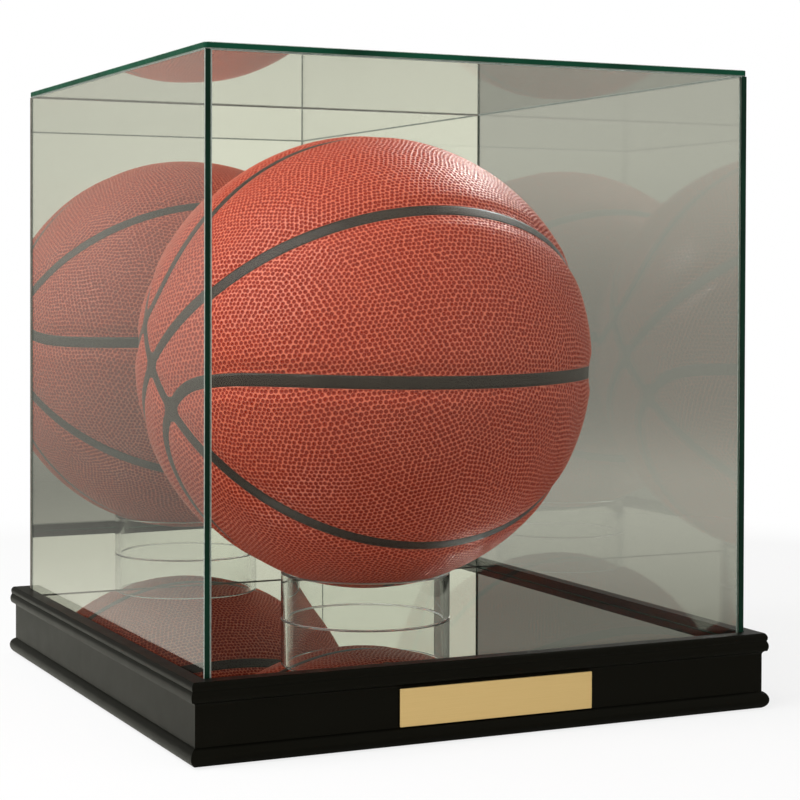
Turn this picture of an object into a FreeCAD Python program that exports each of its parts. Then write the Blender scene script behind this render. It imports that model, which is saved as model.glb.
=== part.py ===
import FreeCAD, Part
from BOPTools import SplitAPI
import math
import os

# Glass display case for a basketball, in millimetres.
# Z is up and Z = 0 is the table under the felt. The origin is at the middle of the base.
# The front, with the nameplate, faces -Y.

# Driving sizes
BALL_DIAMETER = 239.0       # a full-size ball
SIDE_ROOM = 20.7            # air between the ball and the glass on each side
HEAD_ROOM = 25.8            # air between the ball and the top pane
LEDGE = 9.2                 # how far the base stands out past the glass
PANE = 3.0                  # glass and mirror thickness

# Ring that carries the ball
RING_DIAMETER = 90.0
RING_WALL = 3.2
RING_HEIGHT = 24.4
RING_ARRIS = 0.4            # chamfer on the four round edges
BALL_SEAT_GAP = 0.25        # clearance where the ball rests on the ring

# Glass cover
BOND = 0.15                 # thickness of the clear glue in each seam
GLASS_ARRIS = 0.3           # ground chamfer on every glass edge
TOP_CORNER = 2.0            # eased corners of the top pane
COVER_RABBET = 4.4          # how deep the glass stands in the base, on the mirror floor
COVER_CLEARANCE = 0.5       # play between the glass and the rabbet

# Moulding profile, from the outermost face inwards and from the table up
FELT_PROUD = 0.5            # felt below the wood
TORUS_HEIGHT = 8.4          # rounded nose along the foot
FASCIA_HEIGHT = 18.2        # flat face that carries the nameplate
FASCIA_INSET = 2.8
COVE_RADIUS = 1.9           # hollow above the fascia
BEAD_HEIGHT = 5.0           # upper bead
BEAD_INSET = 0.3
QUIRK_INSET = 1.1           # groove between the bead and the lip
LIP_HEIGHT = 3.9            # rounded top lip
LIP_INSET = 0.7
LIP_ROUND = 1.2             # width of the round at the top of the lip
MOULDING_WIDTH = 22.0       # outermost face to the inside of the frame

# Mirror floor and the boards under it
FLOOR_SHELF = 7.3           # wood under the rim of the mirror floor
FLOOR_CLEARANCE = 0.4       # play around the mirror floor and the deck
TAPE_THICKNESS = 0.8
TAPE_WIDTH = 25.0
TAPE_END = 20.0             # bare deck beyond each end of a tape strip
TAPE_COUNT = 3
DECK_THICKNESS = 6.0

# Underside
BOTTOM_THICKNESS = 3.0
BOTTOM_INSET = 14.0         # outermost face to the rabbet of the bottom board
BOTTOM_CLEARANCE = 0.4
FELT_THICKNESS = 1.5
BRAD_DIAMETER = 1.4
BRAD_HEAD = 2.6
BRAD_HEAD_THICKNESS = 0.5
BRAD_LENGTH = 10.0
BRADS_PER_SIDE = 3
BRAD_EDGE = 4.0             # edge of the bottom board to the middle of a brad
BRAD_END = 40.0             # corner of the bottom board to the first brad

# Corner joinery
BLOCK_SIDE = 20.0
SCREW_DIAMETER = 3.5
SCREW_HEAD = 7.0
SCREW_HEAD_HEIGHT = 2.2
SCREW_BITE = 4.5            # length of the screw inside the deck
V_NAIL_LEG = 4.0
V_NAIL_THICKNESS = 0.6
V_NAIL_HEIGHT = 7.0
V_NAIL_INSET = 8.5          # outermost face to the middle of a V-nail

# Nameplate
PLATE_LENGTH = 101.6
PLATE_MARGIN = 0.2          # fascia left bare above and below the plate
PLATE_THICKNESS = 0.8
PLATE_CORNER = 0.6
PLATE_TAPE = 0.3
PLATE_TAPE_MARGIN = 1.5     # plate edge beyond its tape

# Ball
PANEL_THICKNESS = 1.6
CARCASS_THICKNESS = 1.2
BLADDER_THICKNESS = 0.6
CHANNEL_WIDTH = 6.6         # black channel between the panels
LOOP_LOW = 14.0             # degrees from the middle seam to a loop, at the poles of the ball
LOOP_HIGH = 44.0            # degrees from the middle seam to a loop, half way between the poles
LOOP_POWER = 3.0            # squareness of the loops
LOOP_POINTS = 25
LOOP_OVERRUN = 8.0          # degrees that a loop is drawn past each pole
BALL_ROLL = -131.3          # degrees about X
BALL_YAW = 1.3              # degrees about Z
VALVE_LATITUDE = 62.0       # degrees from the middle seam
VALVE_DIAMETER = 6.0
VALVE_CLEARANCE = 0.1
VALVE_SUNK = 0.4            # valve face below the panel face
VALVE_FLANGE = 14.0
VALVE_FLANGE_THICKNESS = 1.2
VALVE_LENGTH = 16.0
NEEDLE_HOLE = 1.0

# Plan sizes
ball_radius = BALL_DIAMETER / 2
cover_inside = BALL_DIAMETER + 2 * SIDE_ROOM
cover_side = cover_inside + 2 * PANE
base_side = cover_side + 2 * LEDGE
rabbet_inset = LEDGE - COVER_CLEARANCE
floor_side = base_side - 2 * (rabbet_inset + FLOOR_CLEARANCE)
deck_side = floor_side - 2 * FLOOR_SHELF
bottom_side = base_side - 2 * (BOTTOM_INSET + BOTTOM_CLEARANCE)
base_half = base_side / 2
cover_half = cover_side / 2
frame_half = base_half - MOULDING_WIDTH

# Heights above the table
wood_bottom = FELT_PROUD
torus_top = wood_bottom + TORUS_HEIGHT
fascia_top = torus_top + FASCIA_HEIGHT
cove_top = fascia_top + COVE_RADIUS
quirk = cove_top + BEAD_HEIGHT
lip_top = quirk + LIP_HEIGHT
seat = lip_top - COVER_RABBET
floor_bottom = seat - PANE
deck_top = floor_bottom - TAPE_THICKNESS
deck_bottom = deck_top - DECK_THICKNESS
bottom_top = FELT_THICKNESS + BOTTOM_THICKNESS
ring_top = seat + RING_HEIGHT
ring_bore = RING_DIAMETER / 2 - RING_WALL
seat_radius = ring_bore + RING_ARRIS
ball_seat = ring_top + math.sqrt(ball_radius ** 2 - seat_radius ** 2)
ball_centre = FreeCAD.Vector(0, 0, ball_seat + BALL_SEAT_GAP)
cover_top = ball_centre.z + ball_radius + HEAD_ROOM + PANE
top_pane_bottom = cover_top - PANE
wall_top = top_pane_bottom - BOND

X_AXIS = FreeCAD.Vector(1, 0, 0)
Y_AXIS = FreeCAD.Vector(0, 1, 0)
Z_AXIS = FreeCAD.Vector(0, 0, 1)
ORIGIN = FreeCAD.Vector(0, 0, 0)


def block(low, high):
    """A box between two corners."""
    low = FreeCAD.Vector(*low)
    size = FreeCAD.Vector(*high) - low
    return Part.makeBox(size.x, size.y, size.z, low)


def slab(side, low, high):
    """A square board centred on the Z axis."""
    half = side / 2
    return block((-half, -half, low), (half, half, high))


def turned(shape, quarter):
    """A copy of a shape, turned about Z by quarter turns."""
    copy = shape.copy()
    copy.rotate(ORIGIN, Z_AXIS, 90 * quarter)
    return copy


def all_round(shape):
    """The shape on each of the four sides."""
    return [turned(shape, quarter) for quarter in range(4)]


def spread(count, half_span):
    """Evenly spaced places from -half_span to half_span."""
    if count == 1:
        return [0.0]
    step = 2 * half_span / (count - 1)
    return [step * index - half_span for index in range(count)]


def save(name, *solids):
    """Writes the solids of one node."""
    shape = solids[0] if len(solids) == 1 else Part.makeCompound(list(solids))
    shape.exportStep("parts/" + name + ".step")


def moulding_section():
    """The face of the front moulding's profile at X = 0."""
    def at(inset, height):
        return FreeCAD.Vector(0, inset - base_half, height)

    def line(start, end):
        return Part.LineSegment(start, end).toShape()

    def arc(start, middle, end):
        return Part.Arc(start, middle, end).toShape()

    slant = math.sqrt(0.5)
    foot = at(FASCIA_INSET, wood_bottom)
    torus_end = at(FASCIA_INSET, torus_top)
    fascia_end = at(FASCIA_INSET, fascia_top)
    cove_bend = at(FASCIA_INSET - COVE_RADIUS * (1 - slant), fascia_top + COVE_RADIUS * slant)
    cove_end = at(FASCIA_INSET - COVE_RADIUS, cove_top)
    bead_bulge = at(BEAD_INSET, cove_top + BEAD_HEIGHT / 2)
    groove = at(QUIRK_INSET, quirk)
    lip_bulge = at(LIP_INSET, quirk + LIP_HEIGHT / 2)
    lip_end = at(LIP_INSET + LIP_ROUND, lip_top)
    torus_bulge = at(0, wood_bottom + TORUS_HEIGHT / 2)
    deck_inset = (base_side - deck_side) / 2 - FLOOR_CLEARANCE
    corners = [
        lip_end,
        at(rabbet_inset, lip_top),
        at(rabbet_inset, floor_bottom),
        at(deck_inset, floor_bottom),
        at(deck_inset, deck_bottom),
        at(MOULDING_WIDTH, deck_bottom),
        at(MOULDING_WIDTH, bottom_top),
        at(BOTTOM_INSET, bottom_top),
        at(BOTTOM_INSET, wood_bottom),
        foot,
    ]
    edges = [
        arc(foot, torus_bulge, torus_end),
        line(torus_end, fascia_end),
        arc(fascia_end, cove_bend, cove_end),
        arc(cove_end, bead_bulge, groove),
        arc(groove, lip_bulge, lip_end),
    ]
    edges += [line(start, end) for start, end in zip(corners, corners[1:])]
    return Part.Face(Part.Wire(edges))


def v_nail():
    """A bent steel wedge across the mitre at the front left corner, pressed in from below."""
    leg = block((0, 0, wood_bottom), (V_NAIL_LEG, V_NAIL_THICKNESS, wood_bottom + V_NAIL_HEIGHT))
    other = block((0, 0, wood_bottom), (V_NAIL_THICKNESS, V_NAIL_LEG, wood_bottom + V_NAIL_HEIGHT))
    nail = leg.fuse(other).removeSplitter()
    corner = V_NAIL_INSET - base_half
    nail.translate(FreeCAD.Vector(corner, corner, 0))
    return nail


def brads_on_front():
    """Nails that hold the bottom board to the front moulding."""
    brads = []
    place_y = BRAD_EDGE - bottom_side / 2
    for place_x in spread(BRADS_PER_SIDE, bottom_side / 2 - BRAD_END):
        head_low = FreeCAD.Vector(place_x, place_y, FELT_THICKNESS)
        head = Part.makeCylinder(BRAD_HEAD / 2, BRAD_HEAD_THICKNESS, head_low)
        shank = Part.makeCylinder(BRAD_DIAMETER / 2, BRAD_LENGTH, head_low)
        brads.append(head.fuse(shank).removeSplitter())
    return brads


def deck_screw():
    """A countersunk screw up through the front left corner block into the deck."""
    middle = BLOCK_SIDE / 2 - frame_half
    foot = FreeCAD.Vector(middle, middle, bottom_top)
    head = Part.makeCone(SCREW_HEAD / 2, SCREW_DIAMETER / 2, SCREW_HEAD_HEIGHT, foot)
    length = deck_bottom + SCREW_BITE - bottom_top
    shank = Part.makeCylinder(SCREW_DIAMETER / 2, length, foot)
    return head.fuse(shank).removeSplitter()


def build_base():
    """Mitred mouldings, boards, mirror floor, joinery and felt."""
    strip = moulding_section().extrude(X_AXIS * base_side)
    strip.translate(X_AXIS * -base_half)
    wedge = Part.makePolygon([
        ORIGIN,
        FreeCAD.Vector(-base_half, -base_half, 0),
        FreeCAD.Vector(base_half, -base_half, 0),
        ORIGIN,
    ])
    mitred = strip.common(Part.Face(wedge).extrude(Z_AXIS * lip_top))
    nails = all_round(v_nail())
    brads = [turned(brad, quarter) for quarter in range(4) for brad in brads_on_front()]
    screws = all_round(deck_screw())

    sides = ["front", "right", "back", "left"]
    for side, moulding in zip(sides, all_round(mitred)):
        save("moulding_" + side, moulding.cut(nails + brads).Solids[0])
    save("v_nails", *nails)

    block_low = (-frame_half, -frame_half, bottom_top)
    block_high = (BLOCK_SIDE - frame_half, BLOCK_SIDE - frame_half, deck_bottom)
    corner_block = block(block_low, block_high).cut(deck_screw())
    corners = ["front_left", "front_right", "back_right", "back_left"]
    for corner, shape in zip(corners, all_round(corner_block)):
        save("corner_block_" + corner, shape)
    save("deck_screws", *screws)

    save("deck_board", slab(deck_side, deck_bottom, deck_top).cut(screws))
    save("mirror_floor", slab(floor_side, floor_bottom, seat))
    strips = []
    tape_reach = deck_side / 2 - TAPE_END
    for middle in spread(TAPE_COUNT, tape_reach - TAPE_WIDTH / 2):
        low = (-tape_reach, middle - TAPE_WIDTH / 2, deck_top)
        high = (tape_reach, middle + TAPE_WIDTH / 2, floor_bottom)
        strips.append(block(low, high))
    save("mirror_tape", *strips)

    save("bottom_board", slab(bottom_side, FELT_THICKNESS, bottom_top).cut(brads))
    save("bottom_brads", *brads)
    save("felt_base", slab(bottom_side, 0, FELT_THICKNESS))


def build_nameplate():
    """Bare brass plate, taped to the front fascia."""
    fascia_y = FASCIA_INSET - base_half
    half = PLATE_LENGTH / 2
    low = torus_top + PLATE_MARGIN
    high = fascia_top - PLATE_MARGIN
    tape_y = fascia_y - PLATE_TAPE
    plate = block((-half, tape_y - PLATE_THICKNESS, low), (half, tape_y, high))
    corner_edges = [edge for edge in plate.Edges if abs(edge.tangentAt(edge.FirstParameter).y) > 0.5]
    save("nameplate", plate.makeFillet(PLATE_CORNER, corner_edges))
    tape_half = half - PLATE_TAPE_MARGIN
    tape_low = (-tape_half, tape_y, low + PLATE_TAPE_MARGIN)
    tape_high = (tape_half, fascia_y, high - PLATE_TAPE_MARGIN)
    save("nameplate_tape", block(tape_low, tape_high))


def pane(low, high):
    """A sheet of glass with its edges ground."""
    sheet = block(low, high)
    return sheet.makeChamfer(GLASS_ARRIS, sheet.Edges)


def build_cover():
    """Five panes glued into an open box: four of clear glass, and a mirror at the back."""
    inner = cover_half - PANE
    between = inner - BOND
    left_low = (-cover_half, -cover_half, seat)
    left_high = (-inner, between, wall_top)
    save("left_pane", pane(left_low, left_high))
    save("right_pane", pane((inner, -cover_half, seat), (cover_half, between, wall_top)))
    save("front_pane", pane((-between, -cover_half, seat), (between, -inner, wall_top)))
    save("back_mirror", pane((-cover_half, inner, seat), (cover_half, cover_half, wall_top)))

    top = slab(cover_side, top_pane_bottom, cover_top)
    upright = [edge for edge in top.Edges if abs(edge.tangentAt(edge.FirstParameter).z) > 0.5]
    top = top.makeFillet(TOP_CORNER, upright)
    save("top_pane", top.makeChamfer(GLASS_ARRIS, top.Edges))

    # Each glue line is as wide as the flat that the ground edge leaves
    flat_low = inner + GLASS_ARRIS
    flat_high = cover_half - GLASS_ARRIS
    corner_reach = cover_half - TOP_CORNER
    butt_reach = between - GLASS_ARRIS
    seam_low = seat + GLASS_ARRIS
    seam_high = wall_top - GLASS_ARRIS
    seams = [
        block((-butt_reach, -flat_high, wall_top), (butt_reach, -flat_low, top_pane_bottom)),
        block((-corner_reach, flat_low, wall_top), (corner_reach, flat_high, top_pane_bottom)),
    ]
    for side in (-1, 1):
        gap = sorted((side * between, side * inner))
        edge = sorted((side * flat_low, side * flat_high))
        seams += [
            block((gap[0], -flat_high, seam_low), (gap[1], -flat_low, seam_high)),
            block((edge[0], between, seam_low), (edge[1], inner, seam_high)),
            block((edge[0], -corner_reach, wall_top), (edge[1], butt_reach, top_pane_bottom)),
        ]
    save("bond_seams", *seams)


def build_ring():
    """Clear ring that stands on the mirror floor."""
    foot = FreeCAD.Vector(0, 0, seat)
    outer = Part.makeCylinder(RING_DIAMETER / 2, RING_HEIGHT, foot)
    ring = outer.cut(Part.makeCylinder(ring_bore, RING_HEIGHT, foot))
    rims = [edge for edge in ring.Edges if isinstance(edge.Curve, Part.Circle)]
    save("ball_ring", ring.makeChamfer(RING_ARRIS, rims))


def loop_rise(turn):
    """Angle from the middle seam up to a loop, at a turn about the loop's axis from the pole."""
    along = abs(math.cos(turn)) * math.tan(math.radians(LOOP_LOW))
    across = abs(math.sin(turn)) * math.tan(math.radians(LOOP_HIGH))
    return math.atan((along ** LOOP_POWER + across ** LOOP_POWER) ** (1 / LOOP_POWER))


def loop_strip(shift):
    """A narrow ruled face along one loop seam, shifted square to the seam by an angle in degrees.

    In the ball's own frame the two straight seams are the planes X = 0 and Y = 0, which cross at
    the poles on Z. Each loop goes round the Y axis, and the strip follows its half on the +X side.
    """
    start = -math.radians(LOOP_OVERRUN)
    step = (math.pi - 2 * start) / (LOOP_POINTS - 1)
    rails = []
    for radius in (ball_radius - 2 * PANEL_THICKNESS, ball_radius + PANEL_THICKNESS):
        points = []
        for index in range(LOOP_POINTS):
            turn = start + step * index
            rise = loop_rise(turn)
            slope = (loop_rise(turn + step / 2) - loop_rise(turn - step / 2)) / step
            rise += math.radians(shift) * math.hypot(1, slope / math.cos(rise))
            flat = math.cos(rise)
            spot = FreeCAD.Vector(flat * math.sin(turn), math.sin(rise), flat * math.cos(turn))
            points.append(spot * radius)
        curve = Part.BSplineCurve()
        curve.interpolate(points)
        rails.append(curve.toShape())
    return Part.makeRuledSurface(*rails)


def shell(outer, thickness):
    """A hollow sphere around the origin."""
    return Part.makeSphere(outer).cut(Part.makeSphere(outer - thickness))


def placed(shape):
    """A piece of the ball, turned as it lies and set on the ring."""
    shape = shape.copy()
    shape.rotate(ORIGIN, Y_AXIS, -90)
    shape.rotate(ORIGIN, X_AXIS, BALL_ROLL)
    shape.rotate(ORIGIN, Z_AXIS, BALL_YAW)
    shape.translate(ball_centre)
    return shape


def valve_frame(shape):
    """Turns a shape built along Z to the valve's place in the ball's own frame."""
    shape = shape.copy()
    shape.rotate(ORIGIN, Y_AXIS, 90)
    shape.rotate(ORIGIN, Z_AXIS, VALVE_LATITUDE)
    return shape


def build_ball():
    """Eight panels over a rubber carcass, a bladder and a valve."""
    panel_inside = ball_radius - PANEL_THICKNESS
    carcass_inside = panel_inside - CARCASS_THICKNESS
    bladder_inside = carcass_inside - BLADDER_THICKNESS
    half_channel = CHANNEL_WIDTH / 2
    channel_angle = math.degrees(half_channel / ball_radius)
    reach = ball_radius * 1.05

    cover_layer = shell(ball_radius, PANEL_THICKNESS)
    quarter = block((half_channel, half_channel, -reach), (reach, reach, reach))
    quarter_layer = cover_layer.common(quarter)
    strips = [loop_strip(-channel_angle), loop_strip(channel_angle)]
    pieces = SplitAPI.slice(quarter_layer, strips, "Split", 0.0).Solids
    pieces.sort(key=lambda piece: piece.CenterOfMass.y)
    outer_panel = pieces[0]
    inner_panel = pieces[-1]

    hole_radius = VALVE_DIAMETER / 2 + VALVE_CLEARANCE
    hole = valve_frame(Part.makeCylinder(hole_radius, reach))
    panels = []
    for panel in (inner_panel, outer_panel):
        across = [panel, panel.mirror(ORIGIN, X_AXIS)]
        panels += across + [each.mirror(ORIGIN, Y_AXIS) for each in across]
    panels[0] = panels[0].cut(hole)
    for number, panel in enumerate(panels, 1):
        save("ball_panel_%d" % number, placed(panel))

    save("ball_carcass", placed(shell(panel_inside, CARCASS_THICKNESS).cut(hole)))
    save("ball_bladder", placed(shell(carcass_inside, BLADDER_THICKNESS).cut(hole)))

    face = ball_radius - VALVE_SUNK
    stem = Part.makeCylinder(VALVE_DIAMETER / 2, VALVE_LENGTH, Z_AXIS * (face - VALVE_LENGTH))
    flange_radius = VALVE_FLANGE / 2
    flange_top = math.sqrt(bladder_inside ** 2 - flange_radius ** 2)
    flange_foot = Z_AXIS * (flange_top - VALVE_FLANGE_THICKNESS)
    flange = Part.makeCylinder(flange_radius, VALVE_FLANGE_THICKNESS, flange_foot)
    needle = Part.makeCylinder(NEEDLE_HOLE / 2, reach)
    valve = stem.fuse(flange).removeSplitter().cut(needle)
    save("ball_valve", placed(valve_frame(valve)))


os.makedirs("parts", exist_ok=True)
build_base()
build_nameplate()
build_cover()
build_ring()
build_ball()
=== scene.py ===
"""Looks of a glass display case with a basketball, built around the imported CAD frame.

Metres, Z up. The front, with the nameplate, faces -Y.
"""
import itertools
import math

import bpy
import numpy as np
from mathutils import Matrix, Vector


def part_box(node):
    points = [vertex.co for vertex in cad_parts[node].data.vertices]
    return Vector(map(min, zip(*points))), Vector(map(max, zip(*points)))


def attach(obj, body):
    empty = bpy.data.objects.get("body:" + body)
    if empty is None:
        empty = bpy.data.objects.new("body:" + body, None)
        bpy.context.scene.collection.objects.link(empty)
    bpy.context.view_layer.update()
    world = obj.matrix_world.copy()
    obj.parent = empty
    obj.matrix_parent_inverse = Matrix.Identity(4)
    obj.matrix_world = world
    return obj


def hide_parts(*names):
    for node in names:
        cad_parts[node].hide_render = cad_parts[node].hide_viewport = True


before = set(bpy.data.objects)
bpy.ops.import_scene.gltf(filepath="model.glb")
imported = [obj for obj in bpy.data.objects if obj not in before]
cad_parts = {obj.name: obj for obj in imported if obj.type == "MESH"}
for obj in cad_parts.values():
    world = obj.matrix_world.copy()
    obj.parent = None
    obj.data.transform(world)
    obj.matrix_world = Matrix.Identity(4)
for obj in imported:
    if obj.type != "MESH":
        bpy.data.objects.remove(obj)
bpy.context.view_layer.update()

MM = 0.001

# Ball, as in the CAD
BALL_RADIUS = 119.5 * MM
PANEL_THICKNESS = 1.6 * MM
CHANNEL_WIDTH = 6.6 * MM
LOOP_LOW = math.radians(14.0)       # from the middle seam to a loop, at the poles of the ball
LOOP_HIGH = math.radians(44.0)      # from the middle seam to a loop, half way between the poles
LOOP_POWER = 3.0                    # squareness of the loops
BALL_ROLL = math.radians(-131.3)    # about X
BALL_YAW = math.radians(1.3)        # about Z
VALVE_LATITUDE = math.radians(62.0)
VALVE_HOLE = 3.1 * MM               # radius
PANEL_CORNER = 4.2 * MM             # radius of a panel's corners, square in the CAD

# Pebble and edges of the ball's panels
NET_FREQUENCY = 58                  # gives pits about 2.5 mm apart
PIT_RADIUS = 1.12 * MM
PIT_SOFTNESS = 0.27 * MM            # half width of a pit's sloping wall
PIT_DEPTH = 0.42 * MM
PIT_SLOPE = 0.5                     # of a pit's wall, at its steepest
PIT_SEED = 5
JITTER = 0.0015                     # scatter of the pits, in ball radii
WAVE_COUNT = 6                      # gentle waves in the rows of pits
WAVE_NUMBER = 14.0
WAVE_SIZE = 0.0002
PILLOW_DROP = 1.25 * MM             # how far a panel sinks towards its edge
PILLOW_REACH = 8.0 * MM
EDGE_ROLL = 0.8 * MM                # width of the round at a panel's edge
EDGE_DROP = 0.1 * MM
EDGE_CUTS = (0.12 * MM, 0.4 * MM, 0.8 * MM)
RIM_WIDTH = 0.15 * MM               # pits fade out within this of the edge
CHANNEL_RISE = 0.25 * MM            # rubber in the channels above the carcass
CHANNEL_SIDE = 0.2 * MM
PANEL_LIFT = 0.02 * MM              # keeps the inside of a panel clear of the carcass
NO_PIT = 9.0                        # stands for the pit of a face that has none, far from the ball

# Flat sheets
GLASS_ARRIS = 0.3 * MM
MIRROR_ARRIS = 0.5 * MM
TOP_CORNER = 2.0 * MM
PLATE_ARRIS = 0.15 * MM
PLATE_CORNER = 0.6 * MM
FELT_ARRIS = 0.5 * MM
FELT_CORNER = 2.0 * MM
CORNER_STEPS = 8
SIDES = ("upper", "left", "lower", "right")     # of a sheet's outline, in its order

# Clear materials
GLASS_TINT = (0.90, 0.905, 0.885, 1.0)
GLASS_INDEX = 1.5
GLASS_HAZE = 0.012
ACRYLIC_TINT = (0.96, 0.97, 0.96, 1.0)
ACRYLIC_INDEX = 1.49

# Ring
RING_WALL = 3.2 * MM
RING_ARRIS = 0.4 * MM
RING_LIFT = 0.02 * MM               # keeps its foot clear of the mirror floor
RING_STEPS = 192

# Camera, fitted to the edges of the case in the photograph
CAMERA_PLACE = Vector((-0.4532, -0.9914, 0.2166))
CAMERA_YAW = math.radians(25.21)
CAMERA_PITCH = math.radians(-0.96)
CAMERA_ROLL = math.radians(0.17)
CAMERA_LENS = 92.14
CAMERA_SHIFT = (0.0147, -0.1153)

# Studio
WHITE = (1.0, 1.0, 1.0, 1.0)
FLOOR_WHITE = (0.9, 0.9, 0.9, 1.0)
SOFT_WHITE = (1.0, 0.99, 0.97, 1.0)
SOFT_LOW = 0.16                     # strength of the soft light from the horizon
SOFT_HIGH = 0.46                    # and from straight above
FLOOR_HALF = 12.0
FLOOR_NEAR = 0.25                   # from here the floor goes over into the background
FLOOR_FAR = 0.8                     # which it has become here
FLOOR_LIFT = 0.8                    # share of plain white in the floor, which thins the shadow
CASE_MIDDLE = (0.0, 0.0, 0.16)


def tone(red, green, blue):
    """A screen colour from 0 to 255, as the linear colour that a socket takes."""
    def linear(level):
        share = level / 255
        return share / 12.92 if share <= 0.04045 else ((share + 0.055) / 1.055) ** 2.4

    return (linear(red), linear(green), linear(blue), 1.0)


def warm(level):
    """A warm grey, as a linear colour."""
    return (level, level, 0.88 * level, 1.0)


# Nodes

def add(tree, kind, inputs=None, **settings):
    """A new shader node. Each input takes a number, a colour or another node's output."""
    node = tree.nodes.new("ShaderNode" + kind)
    for key, value in settings.items():
        setattr(node, key, value)
    for key, value in (inputs or {}).items():
        if isinstance(value, bpy.types.NodeSocket):
            tree.links.new(value, node.inputs[key])
        else:
            node.inputs[key].default_value = value
    return node


def new_surface(name, constants=None):
    """A material with a Principled shader, and its node tree."""
    material = bpy.data.materials.new(name)
    material.use_nodes = True
    tree = material.node_tree
    shader = tree.nodes["Principled BSDF"]
    for key, value in (constants or {}).items():
        shader.inputs[key].default_value = value
    return material, tree, shader


def drive(tree, shader, **outputs):
    """Links node outputs to the shader's sockets, with spaces for underscores in their names."""
    for key, value in outputs.items():
        tree.links.new(value, shader.inputs[key.replace("_", " ")])


def noise(tree, scale, detail=3.0, stretch=(1.0, 1.0, 1.0)):
    """Noise from 0 to 1, fixed to the piece."""
    place = add(tree, "TexCoord").outputs["Object"]
    place = add(tree, "Mapping", {"Vector": place, "Scale": stretch}).outputs["Vector"]
    return add(tree, "TexNoise", {"Vector": place, "Scale": scale, "Detail": detail}).outputs["Fac"]


def remap(tree, value, low, high, start=0.3, end=0.7, kind="LINEAR"):
    """The value's range from start to end, as low to high."""
    inputs = {"Value": value, "From Min": start, "From Max": end, "To Min": low, "To Max": high}
    return add(tree, "MapRange", inputs, interpolation_type=kind).outputs["Result"]


def mixed(tree, share, first, second):
    """A colour between two."""
    inputs = {"Factor": share, "A": first, "B": second}
    node = tree.nodes.new("ShaderNodeMix")
    node.data_type = "RGBA"
    sockets = {socket.name: socket for socket in node.inputs if socket.enabled}
    for key, value in inputs.items():
        if isinstance(value, bpy.types.NodeSocket):
            tree.links.new(value, sockets[key])
        else:
            sockets[key].default_value = value
    return next(socket for socket in node.outputs if socket.enabled)


def mottled(tree, grain, dark, pale):
    """A colour that follows a grain from dark to pale."""
    return mixed(tree, remap(tree, grain, 0.0, 1.0), dark, pale)


def maths(tree, operation, first, second):
    """A step of arithmetic."""
    return add(tree, "Math", {0: first, 1: second}, operation=operation).outputs[0]


def vector_maths(tree, operation, output, *inputs):
    """A step of vector arithmetic."""
    return add(tree, "VectorMath", dict(enumerate(inputs)), operation=operation).outputs[output]


def bumped(tree, height, distance):
    """A normal from a height of 0 to 1."""
    return add(tree, "Bump", {"Height": height, "Distance": distance}).outputs["Normal"]


# Materials

def leather_material():
    """Pebbled ball leather: round pits in a paler raised net, painted darker as shade in the hollows, fading
    out at the panel's rim.
    """
    material, tree, shader = new_surface("pebbled_leather")
    spot = add(tree, "TexCoord").outputs["Object"]
    centre = add(tree, "Attribute", attribute_name="pit_centre").outputs["Vector"]
    size = add(tree, "Attribute", attribute_name="pit_size").outputs["Fac"]
    rim = add(tree, "Attribute", attribute_name="rim").outputs["Fac"]
    inwards = vector_maths(tree, "SUBTRACT", "Vector", centre, spot)
    reach = maths(tree, "DIVIDE", vector_maths(tree, "LENGTH", "Value", inwards), size)
    inner = PIT_RADIUS - PIT_SOFTNESS
    outer = PIT_RADIUS + PIT_SOFTNESS
    pit = remap(tree, reach, 1.0, 0.0, inner, outer, "SMOOTHSTEP")
    pit = maths(tree, "MULTIPLY", pit, remap(tree, rim, 1.0, 0.0, 0.0, 1.0))
    slope = maths(tree, "MULTIPLY", pit, remap(tree, reach, 0.0, PIT_SLOPE, 0.0, PIT_RADIUS))
    towards = vector_maths(tree, "NORMALIZE", "Vector", inwards)
    lean = add(tree, "VectorMath", {0: towards, "Scale": slope}, operation="SCALE").outputs["Vector"]
    to_world = {"vector_type": "VECTOR", "convert_from": "OBJECT", "convert_to": "WORLD"}
    lean = add(tree, "VectorTransform", {"Vector": lean}, **to_world).outputs["Vector"]
    normal = add(tree, "NewGeometry").outputs["Normal"]
    facing = vector_maths(tree, "ADD", "Vector", normal, lean)
    net_colour = mottled(tree, noise(tree, 40.0), tone(239, 123, 94), tone(233, 115, 86))
    # The pits' darker colour is painted shade in the hollows
    shaded_pit_colour = mottled(tree, noise(tree, 300.0), tone(166, 45, 22), tone(152, 39, 19))
    drive(
        tree, shader,
        Base_Color=mixed(tree, pit, net_colour, shaded_pit_colour),
        Roughness=remap(tree, pit, 0.24, 0.5, 0.0, 1.0),
        Specular_IOR_Level=remap(tree, pit, 0.38, 0.12, 0.0, 1.0),
        Normal=vector_maths(tree, "NORMALIZE", "Vector", facing),
    )
    return material


def rubber_material(name, dark, pale, roughness):
    """Moulded rubber with a fine grain."""
    material, tree, shader = new_surface(name, {"Specular IOR Level": 0.3})
    grain = noise(tree, 1800.0, 2.0)
    drive(
        tree, shader,
        Base_Color=mottled(tree, noise(tree, 60.0), dark, pale),
        Roughness=remap(tree, grain, roughness - 0.06, roughness + 0.06),
        Normal=bumped(tree, grain, 0.05 * MM),
    )
    return material


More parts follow.
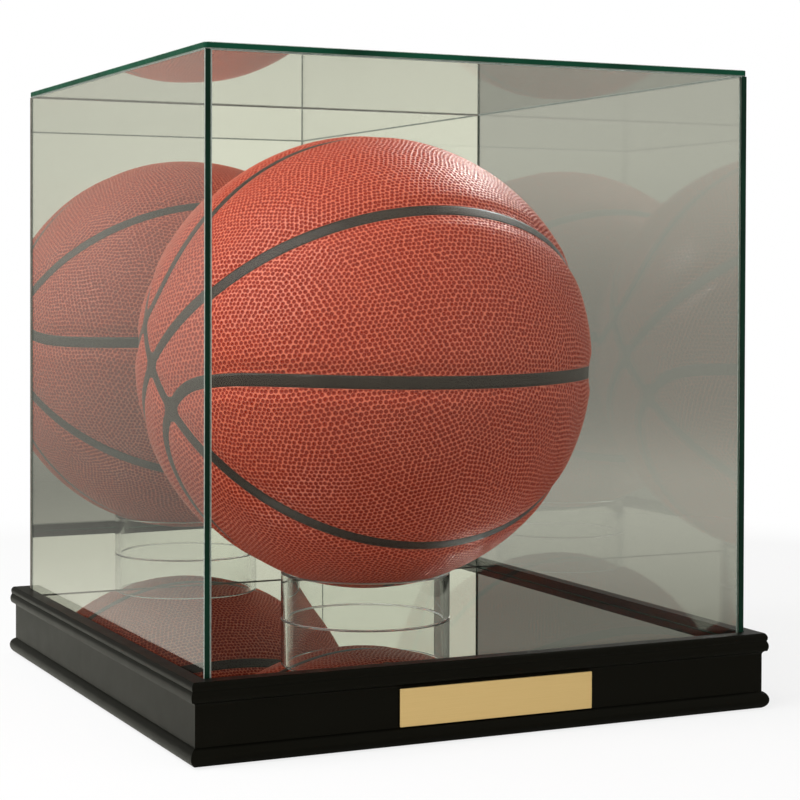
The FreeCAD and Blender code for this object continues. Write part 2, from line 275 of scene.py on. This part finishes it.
def clear_material(name, tint, index, least_haze, most_haze, shine=0.25):
    """A clear solid. It refracts for the eye, and lets the lamps and the soft light straight through.

    Shine is the share of its reflections that is kept.
    """
    constants = {
        "Base Color": tint,
        "IOR": index,
        "Transmission Weight": 1.0,
        "Specular Tint": (shine, shine, shine, 1.0),
    }
    material, tree, shader = new_surface(name, constants)
    smears = noise(tree, 18.0, 5.0)
    drive(tree, shader, Roughness=remap(tree, smears, least_haze, most_haze, 0.45, 0.75))
    face_tint = [math.sqrt(level) for level in tint[:3]] + [1.0]
    through = add(tree, "BsdfTransparent", {"Color": face_tint})
    path = add(tree, "LightPath").outputs
    passing = maths(tree, "MAXIMUM", path["Is Shadow Ray"], path["Is Diffuse Ray"])
    both = add(tree, "MixShader", {0: passing, 1: shader.outputs[0], 2: through.outputs[0]})
    tree.links.new(both.outputs[0], tree.nodes["Material Output"].inputs["Surface"])
    return material


def glass_edge_material(name, dark, pale):
    """Polished edge of float glass, dark green and uneven along its length."""
    material, tree, shader = new_surface(name, {"Specular IOR Level": 0.1})
    drive(
        tree, shader,
        Base_Color=mottled(tree, noise(tree, 22.0), dark, pale),
        Roughness=remap(tree, noise(tree, 500.0), 0.3, 0.5),
    )
    return material


def arris_material():
    """Ground corner of a glass edge, pale and matt."""
    material, tree, shader = new_surface("glass_arris")
    grain = noise(tree, 900.0)
    drive(
        tree, shader,
        Base_Color=mottled(tree, grain, tone(146, 157, 149), tone(182, 191, 185)),
        Roughness=remap(tree, grain, 0.35, 0.6),
        Normal=bumped(tree, grain, 0.03 * MM),
    )
    return material


def mirror_material():
    """Silvered face with the faintest of smears. For rays that light a surface it is darkened, which paints
    shade under the ball.
    """
    material, tree, shader = new_surface("mirror_face", {"Metallic": 1.0})
    silver = mottled(tree, noise(tree, 6.0), tone(237, 238, 233), tone(242, 243, 238))
    # Painted shade: a darker colour for rays that light a surface, so the ball's underside gets less light
    thrown = add(tree, "LightPath").outputs["Is Diffuse Ray"]
    drive(
        tree, shader,
        Base_Color=mixed(tree, thrown, silver, warm(0.4)),
        Roughness=remap(tree, noise(tree, 25.0, 5.0), 0.0, 0.025, 0.5, 0.8),
    )
    return material


def backing_material():
    """Grey paint over the silver, rolled on."""
    material, tree, shader = new_surface("mirror_backing")
    stipple = noise(tree, 420.0, 4.0)
    streaks = noise(tree, 30.0, 3.0, (1.0, 1.0, 0.15))
    drive(
        tree, shader,
        Base_Color=mottled(tree, streaks, tone(112, 118, 121), tone(130, 135, 137)),
        Roughness=remap(tree, stipple, 0.45, 0.65),
        Normal=bumped(tree, stipple, 0.08 * MM),
    )
    return material


def lacquer_material():
    """Satin black lacquer with a slight ripple and a trace of dust."""
    constants = {"Specular IOR Level": 0.07, "Specular Tint": (1.0, 0.93, 0.79, 1.0)}
    material, tree, shader = new_surface("black_lacquer", constants)
    ripple = noise(tree, 700.0, 2.0)
    drive(
        tree, shader,
        Base_Color=mottled(tree, noise(tree, 35.0, 5.0), tone(4, 4, 2), tone(6, 6, 4)),
        Roughness=remap(tree, noise(tree, 90.0, 4.0), 0.33, 0.37),
        Normal=bumped(tree, ripple, 0.004 * MM),
    )
    return material


def brass_material():
    """Satin brass sheet, brushed along its length."""
    material, tree, shader = new_surface("satin_brass", {"Metallic": 1.0})
    brush = noise(tree, 5000.0, 3.0, (0.01, 1.0, 1.0))
    drive(
        tree, shader,
        Base_Color=mottled(tree, brush, tone(211, 181, 128), tone(216, 186, 134)),
        Roughness=remap(tree, brush, 0.33, 0.39),
        Normal=bumped(tree, brush, 0.002 * MM),
    )
    return material


def plain_material(name, dark, pale, scale, roughness, depth, stretch=(1.0, 1.0, 1.0), metallic=0.0):
    """A surface with one grain, which colours it, roughens it and stands proud by depth."""
    material, tree, shader = new_surface(name, {"Metallic": metallic})
    grain = noise(tree, scale, 5.0, stretch)
    drive(
        tree, shader,
        Base_Color=mottled(tree, grain, dark, pale),
        Roughness=remap(tree, grain, roughness - 0.08, roughness + 0.08),
        Normal=bumped(tree, grain, depth),
    )
    return material


LEATHER = leather_material()
CHANNEL = rubber_material("channel_rubber", tone(40, 31, 23), tone(50, 40, 31), 0.45)
BLADDER = rubber_material("bladder_rubber", tone(28, 28, 28), tone(40, 40, 40), 0.45)
GLASS = clear_material("clear_glass", GLASS_TINT, GLASS_INDEX, 0.0, GLASS_HAZE)
SIDE_GLASS = clear_material("side_glass", GLASS_TINT, GLASS_INDEX, 0.0, GLASS_HAZE, shine=1.0)
ACRYLIC = clear_material("clear_acrylic", ACRYLIC_TINT, ACRYLIC_INDEX, 0.0, 0.02)
FROSTED = clear_material("frosted_acrylic", ACRYLIC_TINT, ACRYLIC_INDEX, 0.4, 0.55)
GLUE = clear_material("clear_glue", (0.86, 0.88, 0.86, 1.0), 1.45, 0.0, 0.3)
GLASS_EDGE = glass_edge_material("glass_edge", tone(3, 54, 36), tone(12, 86, 62))
# A darker copy of the glass edge: painted shade for the edges of the upright panes
SHADED_GLASS_EDGE = glass_edge_material("shaded_glass_edge", tone(2, 28, 18), tone(7, 50, 35))
ARRIS = arris_material()
MIRROR = mirror_material()
BACKING = backing_material()
LACQUER = lacquer_material()
BRASS = brass_material()
BOARD = plain_material("fibre_board", tone(112, 82, 56), tone(142, 108, 76), 220.0, 0.8, 0.1 * MM)
PINE = plain_material(
    "sawn_pine", tone(176, 134, 88), tone(210, 172, 124), 120.0, 0.75, 0.1 * MM, stretch=(1.0, 1.0, 0.1))
STEEL = plain_material(
    "bright_steel", tone(150, 150, 150), tone(190, 190, 188), 700.0, 0.35, 0.01 * MM, metallic=1.0)
FOAM = plain_material("foam_tape", tone(206, 206, 200), tone(228, 228, 224), 1500.0, 0.85, 0.1 * MM)
GLUED_END = plain_material("glued_glass_end", tone(66, 86, 74), tone(92, 110, 97), 300.0, 0.5, 0.02 * MM)
MIRROR_RIM = plain_material("mirror_rim", tone(96, 92, 82), tone(124, 119, 108), 300.0, 0.6, 0.02 * MM)
FELT = plain_material("black_felt", tone(24, 24, 24), tone(44, 44, 43), 1400.0, 0.9, 0.3 * MM)


# Meshes

def new_piece(name, points, faces, materials, body, node):
    """A mesh piece that stands for a CAD node and moves with its body."""
    mesh = bpy.data.meshes.new(name)
    mesh.from_pydata(points, [], faces)
    for material in materials:
        mesh.materials.append(material)
    piece = bpy.data.objects.new(name, mesh)
    bpy.context.scene.collection.objects.link(piece)
    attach(piece, body)
    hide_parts(node)
    return piece


def outline(low, high, inset, corner):
    """A rectangle's corners in order, rounded where corner is more than nothing."""
    radius = corner - inset if corner else 0.0
    steps = CORNER_STEPS if corner else 0
    margin = inset + radius
    points = []
    for quarter, (right, upper) in enumerate(((1, 1), (0, 1), (0, 0), (1, 0))):
        across = high[0] - margin if right else low[0] + margin
        up = high[1] - margin if upper else low[1] + margin
        for step in range(steps + 1):
            angle = math.pi / 2 * (quarter + step / max(steps, 1))
            points.append((across + radius * math.cos(angle), up + radius * math.sin(angle)))
    return points


def sheet_piece(name, node, axis, finishes, body, arris, corner=0.0, joined=(), plain=()):
    """A flat sheet with ground edges in a node's box, thin along one axis.

    Its finishes are those of the low flat, the high flat, the edge, the arris and the edge of a joined
    side. On a sheet with square corners, the arris of a plain side takes the finish of its edge. Left and
    right are the ends of the first of the other two axes, and lower and upper those of the second.
    """
    low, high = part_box(node)
    across = [each for each in range(3) if each != axis]
    flat_low = [low[each] for each in across]
    flat_high = [high[each] for each in across]
    rings = (
        (low[axis], arris),
        (low[axis] + arris, 0.0),
        (high[axis] - arris, 0.0),
        (high[axis], arris),
    )
    points = []
    for level, inset in rings:
        for place in outline(flat_low, flat_high, inset, corner):
            point = [level] * 3
            point[across[0]], point[across[1]] = place
            points.append(point)
    count = len(points) // len(rings)
    faces = [list(range(count - 1, -1, -1)), list(range(3 * count, 4 * count))]
    kinds = [0, 1]
    glued = [SIDES.index(side) for side in joined]
    polished = [SIDES.index(side) for side in plain]
    for ring in range(3):
        for start in range(count):
            end = (start + 1) % count
            below = ring * count
            above = below + count
            faces.append([below + start, below + end, above + end, above + start])
            if ring == 1:
                kinds.append(4 if start in glued else 2)
            else:
                kinds.append(2 if start in polished else 3)
    if axis == 1:
        faces = [face[::-1] for face in faces]
    piece = new_piece(name, points, faces, finishes, body, node)
    piece.data.polygons.foreach_set("material_index", kinds)
    return piece


def ring_piece(name, node, wall_finish, rim_finish, body):
    """A clear tube on end with eased, frosted rims."""
    low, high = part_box(node)
    middle = (low + high) / 2
    foot = low.z + RING_LIFT
    outer = (high.x - low.x) / 2
    inner = outer - RING_WALL
    ease = RING_ARRIS
    profile = [
        (outer, foot + ease), (outer, high.z - ease), (outer - ease, high.z), (inner + ease, high.z),
        (inner, high.z - ease), (inner, foot + ease), (inner + ease, foot), (outer - ease, foot),
    ]
    walls = (0, 4)          # the outer and the inner side of the profile
    count = len(profile)
    points = []
    faces = []
    kinds = []
    for step in range(RING_STEPS):
        angle = 2 * math.pi * step / RING_STEPS
        here = step * count
        after = (step + 1) % RING_STEPS * count
        for corner, (radius, height) in enumerate(profile):
            following = (corner + 1) % count
            points.append((middle.x + radius * math.cos(angle), middle.y + radius * math.sin(angle), height))
            faces.append([here + corner, after + corner, after + following, here + following])
            kinds.append(0 if corner in walls else 1)
    piece = new_piece(name, points, faces, [wall_finish, rim_finish], body, node)
    piece.data.polygons.foreach_set("material_index", kinds)
    piece.data.polygons.foreach_set("use_smooth", [True] * len(faces))
    piece.data.set_sharp_from_angle(angle=math.radians(30))
    return piece


def dress(material, *names):
    """Gives CAD nodes whose shape is right their finish."""
    for name in names:
        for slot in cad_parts[name].material_slots:
            slot.material = material


# Ball

def unit(points):
    """Points in the same directions at distance 1."""
    return points / np.linalg.norm(points, axis=1, keepdims=True)


def even_net(frequency):
    """Points spread evenly over a sphere of radius 1, and the triangles between them.

    They come from the twenty faces of an icosahedron, each side of which is cut into equal angles.
    """
    golden = (1 + math.sqrt(5)) / 2
    corners = []
    for short, long in itertools.product((-1, 1), (-golden, golden)):
        corners += [(0, short, long), (short, long, 0), (long, 0, short)]
    side_angle = math.atan(2)
    side_limit = 2.1        # the sides of a face are 2 long, and other distances are over 3
    points = []
    triangles = []
    for trio in itertools.combinations(np.array(corners), 3):
        first, second, third = trio
        if max(np.linalg.norm(a - b) for a, b in itertools.combinations(trio, 2)) > side_limit:
            continue
        if np.dot(np.cross(second - first, third - first), first) < 0:
            second, third = third, second
        rows = []
        for row in range(frequency + 1):
            rows.append([])
            for step in range(frequency + 1 - row):
                rest = frequency - row - step
                rows[-1].append(len(points))
                shares = np.sin(np.array((rest, step, row)) * side_angle / frequency)
                points.append(shares @ np.array((first, second, third)))
        for lower, upper in zip(rows, rows[1:]):
            triangles += zip(lower, lower[1:], upper)
            triangles += zip(lower[1:], upper[1:], upper)
    rounded = np.round(np.array(points), 6) + 0.0
    kept, places = np.unique(rounded, axis=0, return_inverse=True)
    return unit(kept), places.reshape(-1)[np.array(triangles)]


def waved(points):
    """Bends the rows of points gently and scatters the points a little."""
    draw = np.random.default_rng(PIT_SEED)
    for _ in range(WAVE_COUNT):
        wave = draw.normal(size=3) * WAVE_NUMBER
        drift = np.cross(wave, draw.normal(size=3)) * WAVE_SIZE
        points = points + np.sin(points @ wave + draw.uniform(0, 2 * math.pi))[:, None] * drift
    return unit(points + draw.normal(size=points.shape) * JITTER)


def relative_spacing(points, triangles):
    """Mean distance from each point to its neighbours, against the mean over all points."""
    starts = triangles.reshape(-1)
    ends = np.roll(triangles, -1, axis=1).reshape(-1)
    length = np.linalg.norm(points[starts] - points[ends], axis=1)
    spacing = np.bincount(starts, length) / np.bincount(starts)
    return spacing / spacing.mean()


def honeycomb(points, triangles):
    """Six-sided cells round the points: all points, the cells' triangles and the point each is round."""
    middles = unit(points[triangles].mean(axis=1))
    starts = triangles.reshape(-1)
    ends = np.roll(triangles, -1, axis=1).reshape(-1)
    owners = np.repeat(np.arange(len(triangles)), 3)
    keys = starts * len(points) + ends
    order = np.argsort(keys)
    found = np.searchsorted(keys[order], ends * len(points) + starts)
    neighbours = owners[order[found]]
    cells = np.stack([starts, len(points) + neighbours, len(points) + owners], axis=1)
    return np.concatenate([points, middles]), cells, starts


def loop_rise(turn):
    """Angle from the middle seam up to a loop, at a turn about the loop's axis from the pole."""
    along = np.abs(np.cos(turn)) * math.tan(LOOP_LOW)
    across = np.abs(np.sin(turn)) * math.tan(LOOP_HIGH)
    return np.arctan((along ** LOOP_POWER + across ** LOOP_POWER) ** (1 / LOOP_POWER))


def loop_place(points):
    """How far each point lies above its loop, and the loop's slope there, as angles."""
    turn = np.arctan2(np.abs(points[:, 0]), points[:, 2])
    step = 0.01
    rise = loop_rise(turn)
    slope = (loop_rise(turn + step) - loop_rise(turn - step)) / (2 * step)
    above = np.arcsin(np.clip(np.abs(points[:, 1]), 0, 1)) - rise
    return above, slope / np.cos(rise)


def channel_gap(points):
    """Distance from each point, in the ball's own frame, to the nearest channel. Negative inside one.

    Where two channels meet, the corner between them is rounded.
    """
    above, slope = loop_place(points)
    middles = np.stack([np.abs(points[:, 0]), np.abs(points[:, 1]), np.abs(above) / np.hypot(1, slope)])
    gaps = middles * BALL_RADIUS - CHANNEL_WIDTH / 2
    nearest = gaps.min(axis=0)
    rounded = PANEL_CORNER - np.linalg.norm(np.maximum(PANEL_CORNER - gaps, 0), axis=0)
    return np.where(nearest < PANEL_CORNER, rounded, nearest)


def valve_gap(points):
    """Distance from each point to the rim of the valve's hole."""
    valve = np.array((math.cos(VALVE_LATITUDE), math.sin(VALVE_LATITUDE), 0.0))
    return np.arccos(np.clip(points @ valve, -1, 1)) * BALL_RADIUS - VALVE_HOLE


def panel_gap(points):
    """Distance from each point to the edge of its panel."""
    return np.minimum(channel_gap(points), valve_gap(points))


def face_drop(points):
    """How far a panel's face lies inside the ball's full radius.

    It sinks in a broad pillow, and in a small round at the very edge.
    """
    gap = panel_gap(points)
    pillow = (1 + np.cos(math.pi * np.clip(gap / PILLOW_REACH, 0, 1))) / 2
    curl = 1 - np.clip(gap / EDGE_ROLL, 0, 1)
    return PILLOW_DROP * pillow + EDGE_DROP * (1 - np.sqrt(1 - curl ** 2))


def cut_along(net, distance, level, keep_below):
    """Cuts a net's triangles along the line where distance is level, and keeps one side or both."""
    points, triangles, owners = net
    gap = distance(points) - level
    above = gap > 0
    count = above[triangles].sum(axis=1)
    whole = (count == 3) | ((count == 0) & keep_below)
    crossing = (count == 1) | (count == 2)
    added = {}
    new_points = []
    new_triangles = []
    new_owners = []
    for triangle, owner in zip(triangles[crossing].tolist(), owners[crossing].tolist()):
        upper = []
        lower = []
        for start, end in zip(triangle, triangle[1:] + triangle[:1]):
            (upper if above[start] else lower).append(start)
            if above[start] != above[end]:
                key = (min(start, end), max(start, end))
                if key not in added:
                    share = gap[start] / (gap[start] - gap[end])
                    added[key] = len(points) + len(new_points)
                    new_points.append(points[start] * (1 - share) + points[end] * share)
                upper.append(added[key])
                lower.append(added[key])
        for loop in (upper, lower) if keep_below else (upper,):
            for second, third in zip(loop[1:], loop[2:]):
                new_triangles.append((loop[0], second, third))
                new_owners.append(owner)
    points = np.concatenate([points, unit(np.array(new_points))])
    triangles = np.concatenate([triangles[whole], np.array(new_triangles)])
    return points, triangles, np.concatenate([owners[whole], np.array(new_owners)])


def panel_number(points):
    """Which of the eight panels each point belongs to, counted as in the CAD."""
    above, _ = loop_place(points)
    return 1 + (points[:, 0] < 0) + 2 * (points[:, 1] < 0) + 4 * (above < 0)


def ball_placement():
    """Turn and middle of the ball as it lies on its ring."""
    turn = Matrix.Rotation(BALL_YAW, 3, "Z") @ Matrix.Rotation(BALL_ROLL, 3, "X")
    turn = turn @ Matrix.Rotation(math.radians(-90), 3, "Y")
    carcass_low, carcass_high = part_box("ball_carcass")
    middle = (carcass_low + carcass_high) / 2
    middle.z = carcass_high.z - (BALL_RADIUS - PANEL_THICKNESS)
    return np.array(turn), np.array(middle)


def set_down(points, radius):
    """Points of the ball at their radius, where the ball lies."""
    turn, middle = ball_placement()
    return (points * np.reshape(radius, (-1, 1))) @ turn.T + middle


def rim_edges(triangles):
    """Directed edges that only one triangle has."""
    edges = np.concatenate([triangles[:, [0, 1]], triangles[:, [1, 2]], triangles[:, [2, 0]]])
    size = triangles.max() + 1
    forward = edges[:, 0] * size + edges[:, 1]
    backward = edges[:, 1] * size + edges[:, 0]
    return edges[~np.isin(forward, backward)]


def face_attribute(mesh, name, kind, field, values, rest):
    """Gives the first faces of a mesh their values, and the other faces the rest."""
    count = len(mesh.polygons) - len(values)
    filled = np.concatenate([values, np.full((count,) + values.shape[1:], rest)])
    attribute = mesh.attributes.new(name, kind, "FACE")
    attribute.data.foreach_set(field, filled.astype(np.float32).reshape(-1))


def panel_piece(number, points, triangles, depths, centres, sizes):
    """One closed panel: a pebbled face that sinks towards its edge, over a plain rim and inside."""
    used, places = np.unique(triangles, return_inverse=True)
    face = places.reshape(triangles.shape)
    spots = points[used]
    rim = 1 - np.clip(panel_gap(spots) / RIM_WIDTH, 0, 1)
    drop = face_drop(spots) + depths[used] * (1 - rim)
    outside = set_down(spots, BALL_RADIUS - drop)
    inside = set_down(spots, BALL_RADIUS - PANEL_THICKNESS + PANEL_LIFT)
    edge = rim_edges(face)
    deep = len(spots)
    start, end = edge.T
    wall = np.concatenate([
        np.stack([end, start, start + deep], axis=1),
        np.stack([end, start + deep, end + deep], axis=1),
    ])
    faces = np.concatenate([face, face[:, ::-1] + deep, wall])
    name = "ball_panel_%d" % number
    both_sides = np.concatenate([outside, inside])
    piece = new_piece(
        name + "_skin", both_sides.tolist(), faces.tolist(), [LEATHER, CHANNEL], "ball", name)
    mesh = piece.data
    mesh.polygons.foreach_set("material_index", [0] * len(face) + [1] * (len(faces) - len(face)))
    mesh.polygons.foreach_set("use_smooth", np.ones(len(faces), dtype=bool))
    mesh.set_sharp_from_angle(angle=math.radians(60))
    face_attribute(mesh, "pit_centre", "FLOAT_VECTOR", "vector", centres, NO_PIT)
    face_attribute(mesh, "pit_size", "FLOAT", "value", sizes, 1.0)
    fade = mesh.attributes.new("rim", "FLOAT", "POINT")
    fade.data.foreach_set("value", np.concatenate([rim, np.ones(deep)]).astype(np.float32))
    return piece


def channel_piece(points, triangles):
    """Rubber under the panels, standing up a little where it shows in the channels."""
    net = (points, triangles, triangles[:, 0])
    for level in (-CHANNEL_SIDE, 0.0):
        net = cut_along(net, channel_gap, level, True)
    spots, faces, _ = net
    lift = np.clip(-channel_gap(spots) / CHANNEL_SIDE, 0, 1)
    radius = BALL_RADIUS - PANEL_THICKNESS + CHANNEL_RISE * lift
    piece = new_piece(
        "ball_channels", set_down(spots, radius).tolist(), faces.tolist(),
        [CHANNEL], "ball", "ball_carcass")
    piece.data.polygons.foreach_set("use_smooth", np.ones(len(faces), dtype=bool))
    return piece


def build_ball():
    """Eight pebbled panels over the rubber of the channels, with the bladder and the valve."""
    net_points, net_triangles = even_net(NET_FREQUENCY)
    channel_piece(net_points, net_triangles)
    pit_points = waved(net_points)
    net = honeycomb(pit_points, net_triangles)
    net = cut_along(net, panel_gap, 0.0, False)
    for edge_cut in EDGE_CUTS:
        net = cut_along(net, panel_gap, edge_cut, True)
    points, triangles, owners = net
    numbers = panel_number(points[triangles].mean(axis=1))
    depths = np.where(np.arange(len(points)) < len(pit_points), PIT_DEPTH, 0.0)
    centres = set_down(pit_points, BALL_RADIUS - face_drop(pit_points) - PIT_DEPTH)
    sizes = relative_spacing(pit_points, net_triangles)
    for panel in range(1, 9):
        mine = numbers == panel
        pits = owners[mine]
        panel_piece(panel, points, triangles[mine], depths, centres[pits], sizes[pits])
    dress(BLADDER, "ball_bladder")
    dress(CHANNEL, "ball_valve")


# Case

def build_cover():
    """Four panes of glass and a mirror, glued along their edges."""
    clear = [GLASS, GLASS, GLASS_EDGE, ARRIS, GLUED_END]
    # The upright panes' edges take the darker copy of the glass edge: painted shade
    upright = [SIDE_GLASS, SIDE_GLASS, SHADED_GLASS_EDGE, ARRIS, GLUED_END]
    sheet_piece(
        "front_glass", "front_pane", 1, clear, "cover", GLASS_ARRIS,
        joined=("upper", "left", "right"), plain=("lower",))
    sheet_piece(
        "left_glass", "left_pane", 0, upright, "cover", GLASS_ARRIS,
        plain=("lower", "right"))
    # The front edge of the right pane lies in shade across its whole width, so its arris takes the darker
    # edge finish too: painted shade
    sheet_piece(
        "right_glass", "right_pane", 0, upright, "cover", GLASS_ARRIS,
        plain=("lower", "right", "left"))
    sheet_piece("top_glass", "top_pane", 2, clear, "cover", GLASS_ARRIS, TOP_CORNER)
    sheet_piece(
        "back_mirror_sheet", "back_mirror", 1, [MIRROR, BACKING, MIRROR_RIM, MIRROR_RIM],
        "cover", MIRROR_ARRIS)
    dress(GLUE, "bond_seams")


def build_base():
    """Mouldings, mirror floor and nameplate, and the boards, blocks and fixings inside."""
    sheet_piece(
        "mirror_floor_sheet", "mirror_floor", 2, [BACKING, MIRROR, GLASS_EDGE, GLASS_EDGE],
        "base", GLASS_ARRIS)
    sheet_piece("brass_plate", "nameplate", 1, [BRASS] * 4, "base", PLATE_ARRIS, PLATE_CORNER)
    sheet_piece("felt_sheet", "felt_base", 2, [FELT] * 4, "base", FELT_ARRIS, FELT_CORNER)
    dress(LACQUER, "moulding_front", "moulding_right", "moulding_back", "moulding_left")
    dress(BOARD, "deck_board", "bottom_board")
    for end, side in itertools.product(("front", "back"), ("left", "right")):
        dress(PINE, "corner_block_%s_%s" % (end, side))
    dress(STEEL, "v_nails", "deck_screws", "bottom_brads")
    dress(FOAM, "mirror_tape", "nameplate_tape")


# Studio

def room_colour(tree, direction):
    """The room around the case: pale in front of it, apart from low down, and grey behind it."""
    along = add(tree, "SeparateXYZ", {0: direction}).outputs
    high = remap(tree, along["Z"], 0.0, 1.0, -0.15, -0.05, "SMOOTHSTEP")
    higher = remap(tree, along["Z"], 0.0, 1.0, -0.03, 0.07, "SMOOTHSTEP")
    highest = remap(tree, along["Z"], 0.0, 1.0, 0.10, 0.16, "SMOOTHSTEP")
    right = remap(tree, along["X"], 0.0, 1.0, -0.4, 0.4, "SMOOTHSTEP")
    back = remap(tree, along["Y"], 0.0, 1.0, -0.4, 0.4, "SMOOTHSTEP")
    front_left = mixed(tree, high, warm(0.08), warm(0.8))
    front_right = mixed(tree, high, warm(0.33), mixed(tree, highest, warm(0.95), warm(0.8)))
    front = mixed(tree, right, front_left, front_right)
    back_left = mixed(tree, high, warm(0.29), warm(0.37))
    wall = mixed(tree, higher, warm(0.26), mixed(tree, highest, warm(0.46), warm(0.19)))
    back_right = mixed(tree, high, warm(0.42), wall)
    return mixed(tree, back, front, mixed(tree, right, back_left, back_right))


def pale_share(path):
    """1 for rays from the eye, also by way of metal and glass, and 0 for rays that light a surface."""
    tree = path["Is Camera Ray"].id_data
    seen = maths(tree, "MAXIMUM", path["Is Camera Ray"], path["Is Glossy Ray"])
    seen = maths(tree, "MAXIMUM", seen, path["Is Transmission Ray"])
    return maths(tree, "MULTIPLY", seen, maths(tree, "LESS_THAN", path["Diffuse Depth"], 0.5))


def studio_world():
    """White behind the object, the room in its glass and mirrors, and soft light on it."""
    world = bpy.data.worlds.new("studio")
    bpy.context.scene.world = world
    world.use_nodes = True
    tree = world.node_tree
    tree.nodes.clear()
    path = add(tree, "LightPath").outputs
    direction = add(tree, "TexCoord").outputs["Generated"]
    room = room_colour(tree, direction)
    height = add(tree, "SeparateXYZ", {0: direction}).outputs["Z"]
    strength = remap(tree, height, SOFT_LOW, SOFT_HIGH, 0.0, 1.0)
    soft = add(tree, "Background", {"Color": SOFT_WHITE, "Strength": strength})
    seen = mixed(tree, path["Is Camera Ray"], room, WHITE)
    pale = add(tree, "Background", {"Color": seen, "Strength": 1.0})
    both = add(tree, "MixShader", {0: pale_share(path), 1: soft.outputs[0], 2: pale.outputs[0]})
    add(tree, "OutputWorld", {"Surface": both.outputs[0]})


def studio_floor():
    """A pale floor that keeps the object's shadow and goes over into the background."""
    mesh = bpy.data.meshes.new("floor")
    half = FLOOR_HALF
    corners = [(-half, -half, 0), (half, -half, 0), (half, half, 0), (-half, half, 0)]
    mesh.from_pydata(corners, [], [(0, 1, 2, 3)])
    floor = bpy.data.objects.new("floor", mesh)
    bpy.context.scene.collection.objects.link(floor)
    material = bpy.data.materials.new("pale_floor")
    material.use_nodes = True
    tree = material.node_tree
    tree.nodes.clear()
    path = add(tree, "LightPath").outputs
    place = add(tree, "TexCoord").outputs["Object"]
    reach = vector_maths(tree, "LENGTH", "Value", place)
    far = remap(tree, reach, 0.0, 1.0, FLOOR_NEAR, FLOOR_FAR, "SMOOTHSTEP")
    outward = vector_maths(tree, "SUBTRACT", "Vector", place, CASE_MIDDLE)
    outward = vector_maths(tree, "NORMALIZE", "Vector", outward)
    room = room_colour(tree, outward)
    # Darker through glass, and to the surfaces it lights, than in a reflection
    dimmed = maths(tree, "MAXIMUM", path["Is Diffuse Ray"], path["Is Transmission Ray"])
    matt_colour = mixed(tree, dimmed, warm(0.9), warm(0.4))
    matt_colour = mixed(tree, path["Is Camera Ray"], matt_colour, FLOOR_WHITE)
    matt = add(tree, "BsdfDiffuse", {"Color": matt_colour})
    seen = mixed(tree, path["Is Camera Ray"], room, WHITE)
    glow = add(tree, "Emission", {"Color": seen, "Strength": 1.0})
    lifted = maths(tree, "MULTIPLY", path["Is Camera Ray"], FLOOR_LIFT)
    share = maths(tree, "MAXIMUM", lifted, maths(tree, "MULTIPLY", far, pale_share(path)))
    both = add(tree, "MixShader", {0: share, 1: matt.outputs[0], 2: glow.outputs[0]})
    add(tree, "OutputMaterial", {"Surface": both.outputs[0]})
    mesh.materials.append(material)


def lamp(name, place, size, power):
    """A square soft lamp that faces the case."""
    light = bpy.data.lights.new(name, "AREA")
    light.size = size
    light.energy = power
    holder = bpy.data.objects.new(name, light)
    holder.location = place
    holder.rotation_euler = (Vector(CASE_MIDDLE) - Vector(place)).to_track_quat("-Z", "Y").to_euler()
    bpy.context.scene.collection.objects.link(holder)
    return holder


def photo_camera():
    """The camera where the photograph was taken from."""
    yaw, pitch = CAMERA_YAW, CAMERA_PITCH
    forward = Vector((math.sin(yaw) * math.cos(pitch), math.cos(yaw) * math.cos(pitch), math.sin(pitch)))
    level = Vector((math.cos(yaw), -math.sin(yaw), 0.0))
    upright = level.cross(forward)
    across = level * math.cos(CAMERA_ROLL) + upright * math.sin(CAMERA_ROLL)
    up = upright * math.cos(CAMERA_ROLL) - level * math.sin(CAMERA_ROLL)
    data = bpy.data.cameras.new("camera")
    data.lens = CAMERA_LENS
    data.shift_x, data.shift_y = CAMERA_SHIFT
    camera = bpy.data.objects.new("camera", data)
    axes = Matrix((across, up, -forward)).transposed()
    camera.matrix_world = Matrix.Translation(CAMERA_PLACE) @ axes.to_4x4()
    bpy.context.scene.collection.objects.link(camera)
    bpy.context.scene.camera = camera


def build_studio():
    """Background, floor, lamps and camera."""
    studio_world()
    studio_floor()
    lamp("key", (-1.5, -0.15, 1.5), size=2.0, power=52.0)
    fill = lamp("fill", (0.7, -1.5, 0.15), size=1.5, power=8.5)
    fill.visible_glossy = False
    fill.visible_transmission = False
    glint = lamp("glint", (0.97, 0.67, 1.17), size=0.3, power=18.5)
    glint.visible_diffuse = False
    photo_camera()


build_ball()
build_cover()
build_base()
ring_piece("clear_ring", "ball_ring", ACRYLIC, FROSTED, "ring")
build_studio()
bpy.context.scene.view_settings.view_transform = "Standard"
